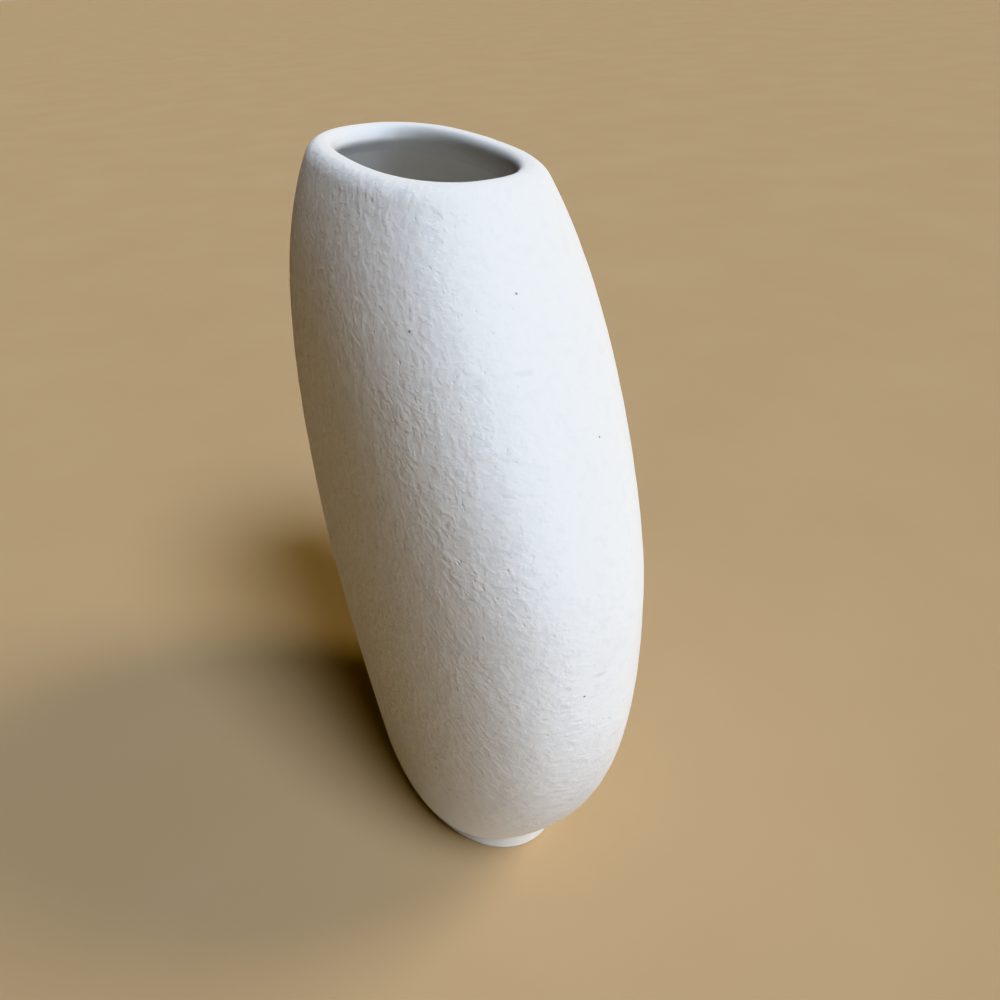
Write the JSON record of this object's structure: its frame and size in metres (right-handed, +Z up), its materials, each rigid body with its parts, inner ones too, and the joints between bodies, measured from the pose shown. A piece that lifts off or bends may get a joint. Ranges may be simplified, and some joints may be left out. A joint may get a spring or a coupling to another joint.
{
  "type": "bud vase",
  "caption": "Small flattened bud vase of matte grained white ceramic with a smooth rounded oval mouth and a low oval foot, for a few short stems in water.",
  "frame": {"origin": "centre of the foot's underside, on the surface that the vase stands on", "axes": "+X along the broad width of the vase, +Y through its thickness, +Z up to the mouth"},
  "size_m": [0.1046, 0.0384, 0.12],
  "materials": {
    "grained_bisque": "matte white unglazed stoneware with a fine leathery grain",
    "smooth_bisque": "matte white unglazed stoneware, wiped smooth",
    "bare_clay": "bare fired clay",
    "inner_glaze": "thin satin glaze"
  },
  "bodies": {
    "root": {"body_wall": "grained_bisque", "lip_ring": "smooth_bisque", "floor_slab": "bare_clay", "foot_ring": "smooth_bisque", "glaze_lining": "inner_glaze"}
  },
  "joints": []
}
